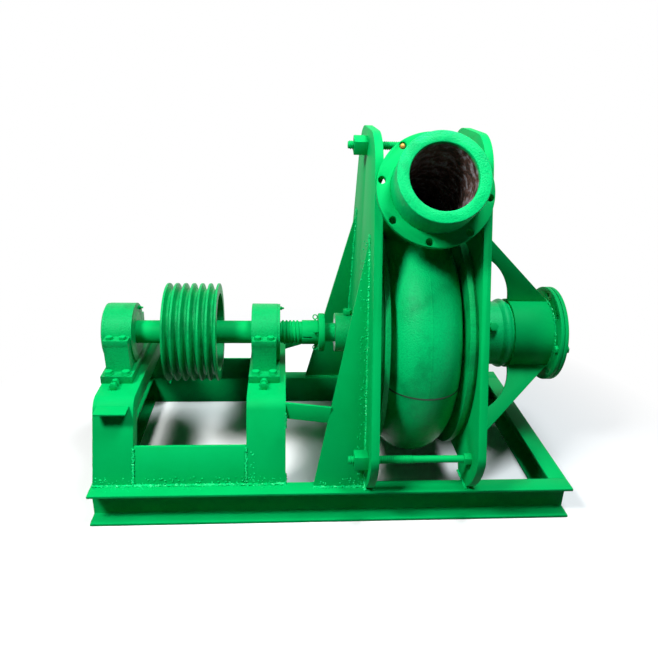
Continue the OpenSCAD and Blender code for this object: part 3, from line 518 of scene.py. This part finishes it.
joint_line = slice_of("volute_upper", [
    ((0.0, 0.0, JOINT_Z + JOINT_LINE), (0.0, 0.0, 1.0)),
], JOINT_RISE)
finish_piece(joint_line, "painted_joint_shadow_line", painted_joint_shadow, "frame")
mould_line = slice_of("volute_upper", [
    ((CROWN_X + MOULD_LINE / 2, 0.0, 0.0), (1.0, 0.0, 0.0)),
    ((CROWN_X - MOULD_LINE / 2, 0.0, 0.0), (-1.0, 0.0, 0.0)),
    ((0.0, 0.0, MOULD_TOP_Z), (0.0, 0.0, 1.0)),
], MOULD_RISE)
finish_piece(mould_line, "casing_mould_line", lit_casing_enamel, "frame")
print("joint line", len(joint_line.data.polygons), "mould line", len(mould_line.data.polygons))

# %% [markdown]
# Now every painted node gets its rounded copy: wider rounds on the castings, whose sharp edges
# never leave the mould, and narrow ones on rolled steel and turned parts.

# %% Painted nodes
# Radius of the round on each node's edges, in millimetres
PLATE_WORK = {
    "front_rail": 1.6, "rear_rail": 1.6, "left_end_rail": 1.6, "right_end_rail": 1.6,
    "left_pedestal": 1.5, "right_pedestal": 1.5, "pedestal_tab": 1.0, "front_skirt": 1.2,
    "rear_skirt": 1.2, "front_brace": 1.2, "rear_brace": 1.2, "drive_side_plate": 2.0,
    "suction_side_plate": 2.0, "front_gusset": 1.5, "rear_gusset": 1.5, "tie_nuts": 1.5,
    "discharge_flange": 1.5, "suction_sleeve": 1.5, "suction_flange": 1.2,
    "tie_rods": 0.8, "companion_flange": 1.2, "flange_bolts": 0.8, "suction_gussets": 1.5,
    "plug_bolts": 1.0, "cap_bolts": 0.9, "foot_bolts": 0.9, "jack_nuts": 0.8,
    "left_jack_screw": 0.8, "right_jack_screw": 0.8, "drive_shaft": 1.0, "shaft_collar": 3.0, "lock_sleeve": 0.8,
    "grease_nipples": 0.5,
}
CAST_WORK = {
    "volute_upper": 2.0, "volute_outlet": 2.0, "volute_lower": 2.0, "drive_side_liner": 2.0,
    "suction_side_liner": 2.0, "suction_pipe": 1.5, "stuffing_box": 2.0,
    "left_bearing_base": 2.0, "left_bearing_cap": 2.0, "right_bearing_base": 2.0,
    "right_bearing_cap": 2.0, "left_end_covers": 1.5, "right_end_covers": 1.5, "v_pulley": 1.2,
    "discharge_neck": 3.0,
}
BARE_INSIDE = ("discharge_neck", "volute_outlet", "volute_upper")
# Nodes that get the casing's lighter green, painted light where the casing is lit
PAINTED_LIGHT_NODES = ("volute_lower", "suction_pipe")
CAST_SEGMENTS = 3
finished = {}
for node, round_mm in PLATE_WORK.items():
    finished[node] = rounded(node, plate_enamel, round_mm)
for node, round_mm in CAST_WORK.items():
    finish = mouth_finish if node in BARE_INSIDE else cast_enamel
    if node in PAINTED_LIGHT_NODES:
        finish = lit_casing_enamel
    finished[node] = rounded(node, finish, round_mm, CAST_SEGMENTS)
print("rounded copies", len(finished))

# %% [markdown]
# The pieces inside keep their CAD shape, because nobody sees their edges. So do two very small
# ones outside, the gasket between the flanges and the pins of the ring. Each gets the finish it
# shows when the pump is opened.

# %% Inner pieces
INNER_FINISH = {
    "bearing_outer_rings": bearing_steel, "bearing_inner_rings": bearing_steel,
    "bearing_rollers": bearing_steel, "pulley_key": bearing_steel,
    "gland_follower": bearing_steel, "impeller_nut": bearing_steel,
    "impeller": impeller_iron, "packing_rings": plaited_fibre, "suction_gasket": sheet_rubber,
    "lock_pins": plate_enamel,
}
for node, material in INNER_FINISH.items():
    inner = frame["nodes"][node]
    inner.data.materials.clear()
    inner.data.materials.append(material)
print("inner finishes", len(INNER_FINISH))

# %% [markdown]
# The sleeve beside the inner bearing carries a coarse thread, and the tie rods are threaded at
# the drive side plate, where their nuts run. A thread is one tooth that turns about an axis
# while it moves along it, and the Screw modifier does just that. The tooth starts as a small
# ring standing in the bar's surface, so half of it is buried and its foot never shows.

# %% Threads
X_TURN = (0.0, math.pi / 2, 0.0)
ALONG_X = (1.0, 0.0, 0.0)
TOOTH_SIDES = 8
TOOTH_SHARE = 0.34
COARSE_STEPS = 64
FINE_STEPS = 24


def stand(piece, origin, direction):
    """Moves a piece that was built along +X from the world's origin to its place."""
    turned = Vector(direction).to_track_quat("X", "Z").to_matrix().to_4x4()
    piece.matrix_world = Matrix.Translation(Vector(origin)) @ turned
    place_in_mesh(piece)


def close_ends(piece):
    """Fills the open ends of a swept piece and points its faces outwards."""
    pick(piece)
    bpy.ops.object.mode_set(mode="EDIT")
    bpy.ops.mesh.select_all(action="SELECT")
    bpy.ops.mesh.remove_doubles(threshold=MERGE_DISTANCE)
    bpy.ops.mesh.fill_holes(sides=0)
    bpy.ops.mesh.normals_make_consistent(inside=False)
    bpy.ops.object.mode_set(mode="OBJECT")


def coil(crest, depth, pitch, length, steps):
    """A round-crested thread along +X, its crests at that radius."""
    deselect()
    bpy.ops.mesh.primitive_circle_add(
        vertices=TOOTH_SIDES, radius=1.0, fill_type="NOTHING",
        location=(pitch / 2, crest - depth, 0.0))
    tooth = bpy.context.object
    tooth.scale = (pitch * TOOTH_SHARE, depth, 1.0)
    place_in_mesh(tooth)
    turn = tooth.modifiers.new("turn_along", "SCREW")
    turn.axis = "X"
    turn.screw_offset = pitch
    turn.iterations = max(1, round(length / pitch) - 1)
    turn.steps = steps
    turn.render_steps = steps
    turn.use_merge_vertices = False
    bpy.ops.object.modifier_apply(modifier="turn_along")
    close_ends(tooth)
    return tooth


def round_bar(length, radius, chamfer, sides):
    """A bar along +X with chamfered ends."""
    deselect()
    bpy.ops.mesh.primitive_cylinder_add(
        vertices=sides, radius=radius, depth=length, location=(length / 2, 0.0, 0.0),
        rotation=X_TURN)
    bar = bpy.context.object
    place_in_mesh(bar)
    ends = bar.modifiers.new("end_chamfer", "BEVEL")
    ends.width = chamfer
    ends.segments = 2
    ends.limit_method = "ANGLE"
    ends.angle_limit = EDGE_ANGLE
    bpy.ops.object.modifier_apply(modifier="end_chamfer")
    return bar


def joined(pieces):
    """Several objects as one mesh."""
    deselect()
    for piece in pieces:
        piece.select_set(True)
    bpy.context.view_layer.objects.active = pieces[0]
    bpy.ops.object.join()
    return bpy.context.object


sleeve_low, sleeve_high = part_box("threaded_sleeve")
SLEEVE_PITCH = 11 * MM
SLEEVE_DEPTH = 4.2 * MM
SLEEVE_CHAMFER = 1.0 * MM
SLEEVE_SIDES = 72
sleeve_crest = (sleeve_high.z - sleeve_low.z) / 2
sleeve_length = sleeve_high.x - sleeve_low.x
axis_height = (sleeve_high.z + sleeve_low.z) / 2
sleeve_core = round_bar(
    sleeve_length, sleeve_crest - SLEEVE_DEPTH, SLEEVE_CHAMFER, SLEEVE_SIDES)
sleeve_coil = coil(sleeve_crest, SLEEVE_DEPTH, SLEEVE_PITCH, sleeve_length, COARSE_STEPS)
sleeve = joined([sleeve_core, sleeve_coil])
stand(sleeve, (sleeve_low.x, 0.0, axis_height), ALONG_X)
finish_piece(
    sleeve, "coarse_thread_sleeve", plate_enamel, "rotor")
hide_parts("threaded_sleeve")

plate_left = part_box("drive_side_plate")
rod_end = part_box("tie_rods")[0].x
# How far across and how high each rod's axis lies, in metres
TIE_PLACES = ((0.0, 0.990), (-0.365, 0.202), (0.365, 0.202))
TIE_RADIUS = 10 * MM
TIE_PITCH = 5.6 * MM
TIE_DEPTH = 2.6 * MM
TIE_CREST = TIE_RADIUS + 2.0 * MM
TIE_INSET = 1.0 * MM
INNER_THREAD = 106 * MM
tie_coils = []
for y, z in TIE_PLACES:
    outside = coil(TIE_CREST, TIE_DEPTH, TIE_PITCH, plate_left[0].x - rod_end, FINE_STEPS)
    stand(outside, (rod_end + TIE_INSET, y, z), ALONG_X)
    inside = coil(TIE_CREST, TIE_DEPTH, TIE_PITCH, INNER_THREAD, FINE_STEPS)
    stand(inside, (plate_left[1].x, y, z), ALONG_X)
    tie_coils += [outside, inside]
tie_threads = finish_piece(
    joined(tie_coils), "tie_rod_threads", plate_enamel, "frame")
print("sleeve length", round(sleeve_length, 3), "tie threads", len(tie_threads.data.vertices))

# %% [markdown]
# Everything on the frame is arc welded. A bead looks like a row of overlapping scales, a few
# millimetres apart, because the welder's pool freezes in steps. One scale is modelled: a ring
# that swells and shrinks again. An Array repeats it along the seam, its ends are closed, and a
# small random shift of the points, always the same for one seed, takes the machine look away.
# A bead round a pipe starts from a torus instead.

# %% Weld beads
SCALE_LENGTH = 7.0 * MM
SCALE_SWELL = 1.35
SCALE_CREST = 0.35
SCALE_SIDES = 10
RING_SIDES = 8
SCALE_MERGE = 5 * MERGE_DISTANCE
BEAD_SHAKE = 1.7 * MM


def shake(piece, seed):
    """Shifts the points of a mesh a little, the same way each time."""
    pick(piece)
    bpy.ops.object.mode_set(mode="EDIT")
    bpy.ops.mesh.select_all(action="SELECT")
    bpy.ops.transform.vertex_random(offset=BEAD_SHAKE, uniform=1.0, normal=0.0, seed=seed)
    bpy.ops.object.mode_set(mode="OBJECT")


def bead(start, end, radius, seed):
    """A straight weld bead from start to end."""
    start, end = Vector(start), Vector(end)
    deselect()
    bpy.ops.mesh.primitive_circle_add(
        vertices=SCALE_SIDES, radius=radius, fill_type="NOTHING", rotation=X_TURN)
    scale = bpy.context.object
    place_in_mesh(scale)
    bpy.ops.object.mode_set(mode="EDIT")
    bpy.ops.mesh.select_all(action="SELECT")
    crest = SCALE_LENGTH * SCALE_CREST
    bpy.ops.mesh.extrude_region_move(TRANSFORM_OT_translate={"value": (crest, 0.0, 0.0)})
    bpy.ops.transform.resize(
        value=(1.0, SCALE_SWELL, SCALE_SWELL), center_override=(crest, 0.0, 0.0))
    bpy.ops.mesh.extrude_region_move(
        TRANSFORM_OT_translate={"value": (SCALE_LENGTH - crest, 0.0, 0.0)})
    bpy.ops.transform.resize(
        value=(1.0, 1 / SCALE_SWELL, 1 / SCALE_SWELL), center_override=(SCALE_LENGTH, 0.0, 0.0))
    bpy.ops.object.mode_set(mode="OBJECT")
    row = scale.modifiers.new("scales", "ARRAY")
    row.count = max(2, round((end - start).length / SCALE_LENGTH))
    row.use_relative_offset = False
    row.use_constant_offset = True
    row.constant_offset_displace = (SCALE_LENGTH, 0.0, 0.0)
    row.use_merge_vertices = True
    row.merge_threshold = SCALE_MERGE
    bpy.ops.object.modifier_apply(modifier="scales")
    close_ends(scale)
    shake(scale, seed)
    stand(scale, start, end - start)
    return scale


def ring_bead(centre, ring_radius, radius, direction, seed):
    """A weld bead round a pipe."""
    deselect()
    rings = 2 * round(2 * math.pi * ring_radius / SCALE_LENGTH / 2)
    bpy.ops.mesh.primitive_torus_add(
        major_radius=ring_radius, minor_radius=radius, major_segments=2 * rings,
        minor_segments=RING_SIDES, rotation=X_TURN)
    loop = bpy.context.object
    place_in_mesh(loop)
    shake(loop, seed)
    stand(loop, centre, direction)
    return loop


rail_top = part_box("front_rail")[1].z
gusset_low, gusset_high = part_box("front_gusset")
plate_out = plate_left[0].x
plate2_low, plate2_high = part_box("suction_side_plate")
ped1_low, ped1_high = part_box("left_pedestal")
ped2_low, ped2_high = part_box("right_pedestal")
skirt_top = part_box("front_skirt")[1].z
# How far the front faces lean back for each metre of height. The skirt's face comes in from 330
# to 241 mm from the pump's middle while it rises from 100 to 322 mm.
GUSSET_LEAN = 0.262
SKIRT_LEAN = (330 - 241) / (322 - 100)
gusset_top_y = gusset_low.y + GUSSET_LEAN * (gusset_high.z - gusset_low.z)
GUSSET_THICK = 10 * MM
PED_FLANGE = 50 * MM
# Where the plates' feet begin and end across the rail, in metres
PLATE_FOOT = (0.274, 0.365)
BRACE_WELD = (2 * MM, 52 * MM)
BEAD_RADIUS = {
    "pedestal_foot": 4.0 * MM, "pedestal_side": 3.0 * MM, "skirt_end": 2.8 * MM,
    "gusset": 3.6 * MM, "gusset_foot": 3.8 * MM, "plate_foot": 3.4 * MM, "brace": 2.6 * MM,
    "rib": 3.0 * MM, "ring": 3.4 * MM,
}
FRONT_SEED = 10
REAR_SEED = 60
RIB_SEED = 120
RING_SEED = 140


def skirt_y(z):
    """How far from the middle the pedestals' and skirts' front faces stand at a height."""
    return -ped1_low.y - SKIRT_LEAN * (z - rail_top)


beads = []
for side in (-1, 1):
    foot_y = side * -ped1_low.y
    inner_y = side * (-ped1_low.y - PED_FLANGE)
    seed = FRONT_SEED if side < 0 else REAR_SEED
    beads.append(bead(
        (ped1_low.x, foot_y, rail_top), (ped2_high.x, foot_y, rail_top),
        BEAD_RADIUS["pedestal_foot"], seed))
    for n, x in enumerate((ped1_low.x, ped1_high.x, ped2_low.x, ped2_high.x)):
        beads.append(bead(
            (x, foot_y, rail_top), (x, inner_y, rail_top),
            BEAD_RADIUS["pedestal_side"], seed + 1 + n))
    for n, x in enumerate((ped1_high.x, ped2_low.x)):
        beads.append(bead(
            (x, side * skirt_y(rail_top), rail_top), (x, side * skirt_y(skirt_top), skirt_top),
            BEAD_RADIUS["skirt_end"], seed + 6 + n))
    for n, reach in enumerate((0.0, GUSSET_THICK)):
        corner = (plate_out, side * (-gusset_low.y - reach), rail_top)
        beads.append(bead(
            corner, (plate_out, side * (-gusset_top_y - reach), gusset_high.z),
            BEAD_RADIUS["gusset"], seed + 8 + n))
        beads.append(bead(
            (gusset_low.x, side * (-gusset_low.y - reach), rail_top), corner,
            BEAD_RADIUS["gusset_foot"], seed + 10 + n))
    for n, x in enumerate((plate_left[0].x, plate_left[1].x, plate2_low.x, plate2_high.x)):
        beads.append(bead(
            (x, side * PLATE_FOOT[0], rail_top), (x, side * PLATE_FOOT[1], rail_top),
            BEAD_RADIUS["plate_foot"], seed + 12 + n))
    brace_low, brace_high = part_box("front_brace" if side < 0 else "rear_brace")
    brace_y = brace_low.y if side < 0 else brace_high.y
    beads.append(bead(
        (brace_low.x, brace_y, brace_low.z + BRACE_WELD[0]),
        (brace_low.x, brace_y, brace_low.z + BRACE_WELD[1]), BEAD_RADIUS["brace"], seed + 17))

flange_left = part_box("suction_flange")[0].x
pipe_low, pipe_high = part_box("suction_sleeve")
sleeve_radius = (pipe_high.z - pipe_low.z) / 2
RIB_TURNS = (0.0, math.radians(135), math.radians(225))
RIB_SIDE = 5 * MM
RIB_REACH = 270 * MM
RIB_OPENING = 0.58
RIB_INSET = 4 * MM
for n, turn in enumerate(RIB_TURNS):
    out = Vector((0.0, -math.sin(turn), math.cos(turn)))
    across = Vector((0.0, math.cos(turn), math.sin(turn)))
    for side in (-1, 1):
        root = Vector((plate2_high.x, 0.0, axis_height)) + side * RIB_SIDE * across
        beads.append(bead(
            root + (sleeve_radius + RIB_REACH * RIB_OPENING) * out,
            root + (sleeve_radius + RIB_REACH - RIB_INSET) * out,
            BEAD_RADIUS["rib"], RIB_SEED + 2 * n + (side > 0)))
STUFFING_RADIUS = 60 * MM
RING_SEAMS = ((flange_left, sleeve_radius), (plate_out, STUFFING_RADIUS))
for n, (x, ring_radius) in enumerate(RING_SEAMS):
    beads.append(ring_bead(
        (x, 0.0, axis_height), ring_radius, BEAD_RADIUS["ring"], ALONG_X, RING_SEED + n))
welds = finish_piece(joined(beads), "weld_beads", weld_enamel_painted_glints, "frame")
print("weld beads", len(beads), "faces", len(welds.data.polygons))

# %% [markdown]
# Hand welding throws spatter: drops that freeze on the plate beside the bead, under the paint.
# Each drop is a small flattened ball of its own size, and the drops are set beside the seams at
# the front, where they are seen. The random numbers come from one seed, so the drops lie in the
# same places each time.

# %% Spatter
SPATTER_SEED = 7156
DROPS_PER_METRE = 150
DROP_FLATNESS = 0.7
SPATTER_REACH = (5 * MM, 24 * MM)
SPATTER_SIZE = (1.4 * MM, 3.0 * MM)
spatter_random = random.Random(SPATTER_SEED)


def spatter(seams):
    """Frozen drops beside seams: each has a start, an end, a way along the plate and its normal."""
    drops = []
    for start, end, along_plate, normal in seams:
        start, end = Vector(start), Vector(end)
        count = round((end - start).length * DROPS_PER_METRE)
        for _ in range(count):
            place = start.lerp(end, spatter_random.random())
            place += Vector(along_plate) * spatter_random.uniform(*SPATTER_REACH)
            size = spatter_random.uniform(*SPATTER_SIZE)
            deselect()
            bpy.ops.mesh.primitive_ico_sphere_add(subdivisions=1, radius=size)
            drop = bpy.context.object
            drop.scale = (DROP_FLATNESS, 1.0, 1.0)
            place_in_mesh(drop)
            stand(drop, place, normal)
            drops.append(drop)
    return joined(drops)


lean = math.atan(GUSSET_LEAN)
gusset_normal = (0.0, -math.cos(lean), math.sin(lean))
gusset_up = (0.0, math.sin(lean), math.cos(lean))
gusset_corner = (plate_out, gusset_low.y, rail_top)
gusset_tip = (plate_out, gusset_top_y, gusset_high.z)
wall = math.atan(SKIRT_LEAN)
wall_normal = (0.0, -math.cos(wall), math.sin(wall))
wall_up = (0.0, math.sin(wall), math.cos(wall))
left_foot = (ped1_low.x, ped1_low.y, rail_top)
right_foot = (ped2_high.x, ped1_low.y, rail_top)
skirt_foot = (ped2_low.x, ped1_low.y, rail_top)
skirt_tip = (ped2_low.x, -skirt_y(skirt_top), skirt_top)
FORWARD = (0.0, -1.0, 0.0)
UPWARD = (0.0, 0.0, 1.0)
drops = spatter([
    (gusset_corner, gusset_tip, (-1.0, 0.0, 0.0), gusset_normal),
    ((gusset_low.x, gusset_low.y, rail_top), gusset_corner, gusset_up, gusset_normal),
    (left_foot, right_foot, wall_up, wall_normal),
    (left_foot, right_foot, FORWARD, UPWARD),
    (skirt_foot, skirt_tip, ALONG_X, wall_normal),
])
finish_piece(drops, "weld_spatter", weld_enamel_painted_glints, "frame")
print("spatter faces", len(drops.data.polygons))

# %% [markdown]
# One hole of the discharge flange holds the end of a bolt in yellow zinc. It is a short bar
# with the same kind of thread as the rods, sunk a little below the flange's face.

# %% Bolt end
# Middle of the flange's face in metres
FLANGE_FACE = Vector((0.223, -0.216257, 0.912432))
FLOW_RISE = math.radians(30)
FLOW = Vector((0.0, -math.cos(FLOW_RISE), math.sin(FLOW_RISE)))
FLANGE_UP = Vector((0.0, math.sin(FLOW_RISE), math.cos(FLOW_RISE)))
BOLT_CIRCLE = 140 * MM
BOLT_TURN = math.radians(126.5)
bolt_place = FLANGE_FACE + BOLT_CIRCLE * (
    math.cos(BOLT_TURN) * Vector(ALONG_X) + math.sin(BOLT_TURN) * FLANGE_UP)
BOLT_LENGTH = 15 * MM
BOLT_CREST = 7.4 * MM
BOLT_DEPTH = 1.0 * MM
BOLT_PITCH = 2.5 * MM
BOLT_CHAMFER = 1.5 * MM
BOLT_SIDES = 32
BOLT_SUNK = 2 * MM
bolt_end = joined([
    round_bar(BOLT_LENGTH, BOLT_CREST - BOLT_DEPTH, BOLT_CHAMFER, BOLT_SIDES),
    coil(BOLT_CREST, BOLT_DEPTH, BOLT_PITCH, BOLT_LENGTH - 2 * MM, FINE_STEPS)])
stand(bolt_end, bolt_place - FLOW * (BOLT_LENGTH + BOLT_SUNK), FLOW)
finish_piece(bolt_end, "zinc_bolt_end", zinc_yellow, "frame")
print("bolt end at", [round(c, 3) for c in bolt_place])

# %% [markdown]
# The pump stands on a white ground and is lit from high above. That is why its tops are bright,
# its upright faces are darker, and the web of the front channel lies in the dark. The floor is
# white to the eye and in reflections, but it throws back almost no light, which keeps that web
# and all undersides dark. Further out it fades into the white background, so no horizon shows.

# %% Floor and background
FLOOR_SIZE = 40.0
# Distances from the pump's middle, in metres, between which the floor turns into background
FADE_START = 0.65
FADE_END = 1.35


def seen_directly(tree):
    """1 on rays from the camera, from a mirror-like surface or through glass, 0 on others."""
    paths = add(tree, "ShaderNodeLightPath")
    either = add(tree, "ShaderNodeMath", {
        0: paths.outputs["Is Camera Ray"], 1: paths.outputs["Is Glossy Ray"]}, operation="MAXIMUM")
    any_of = add(tree, "ShaderNodeMath", {
        0: either.outputs[0], 1: paths.outputs["Is Transmission Ray"]}, operation="MAXIMUM")
    return any_of.outputs[0]


def floor_material():
    """Matt white studio floor that fades into a white background."""
    material, tree = new_material("matt_white_studio_floor")
    direct = seen_directly(tree)
    tone = add(tree, "ShaderNodeMix", {
        MIX_FACTOR: direct, MIX_A: colour("#262827"), MIX_B: colour("#FAFAFA")},
        data_type="RGBA")
    matt = add(tree, "ShaderNodeBsdfDiffuse", {"Color": tone.outputs[MIX_RESULT]})
    white = add(tree, "ShaderNodeEmission", {"Color": colour("#FFFFFF"), "Strength": 1.0})
    place = add(tree, "ShaderNodeTexCoord").outputs["Object"]
    reach = add(tree, "ShaderNodeVectorMath", {0: place}, operation="LENGTH")
    far_out = add(tree, "ShaderNodeMapRange", {
        "Value": reach.outputs["Value"], "From Min": FADE_START, "From Max": FADE_END})
    share = add(tree, "ShaderNodeMath", {
        0: far_out.outputs["Result"], 1: direct}, operation="MULTIPLY")
    shader = add(tree, "ShaderNodeMixShader", {
        0: share.outputs[0], 1: matt.outputs[0], 2: white.outputs[0]})
    close_material(tree, shader)
    return material


deselect()
bpy.ops.mesh.primitive_plane_add(size=FLOOR_SIZE, location=(0.0, 0.0, 0.0))
floor = bpy.context.object
floor.name = "studio_floor"
floor.data.materials.append(floor_material())

world = bpy.data.worlds.new("white_room")
bpy.context.scene.world = world
world.use_nodes = True
world.node_tree.nodes.clear()
backdrop = add(world.node_tree, "ShaderNodeBackground", {
    "Color": colour("#FFFFFF"), "Strength": 1.0})
room = add(world.node_tree, "ShaderNodeBackground", {
    "Color": colour("#EAF4FF"), "Strength": 0.012})
swap = add(world.node_tree, "ShaderNodeMixShader", {
    0: seen_directly(world.node_tree), 1: room.outputs[0], 2: backdrop.outputs[0]})
add(world.node_tree, "ShaderNodeOutputWorld", {"Surface": swap.outputs[0]})
print("floor", floor.name, "world", world.name)

# %% [markdown]
# Three soft boxes light the pump: a key high at the front left, a second one high above the
# right side and a little in front, and a very weak one low at the front left that opens the
# shadows a little.

# %% Lights
PUMP_MIDDLE = (0.0, 0.0, 0.45)


def soft_box(name, place, width, depth, power, tint="#FFFFFF"):
    """An area light at a place, facing the pump's middle, with its power in watts."""
    bpy.ops.object.light_add(type="AREA", location=place)
    lamp = bpy.context.object
    lamp.name = name
    lamp.data.shape = "RECTANGLE"
    lamp.data.size = width
    lamp.data.size_y = depth
    lamp.data.energy = power
    lamp.data.color = colour(tint)[:3]
    facing = Vector(PUMP_MIDDLE) - Vector(place)
    lamp.rotation_euler = facing.to_track_quat("-Z", "Y").to_euler()
    return lamp


soft_box("key_box", (-1.65, -1.45, 2.8), width=0.7, depth=0.7, power=118.0)
soft_box("overhead_box", (0.6, -0.5, 3.2), width=1.0, depth=0.8, power=92.0, tint="#F2FAFF")
soft_box("fill_box", (-1.6, -2.6, 0.9), width=1.6, depth=1.2, power=0.3)
bpy.context.scene.view_settings.view_transform = "Standard"
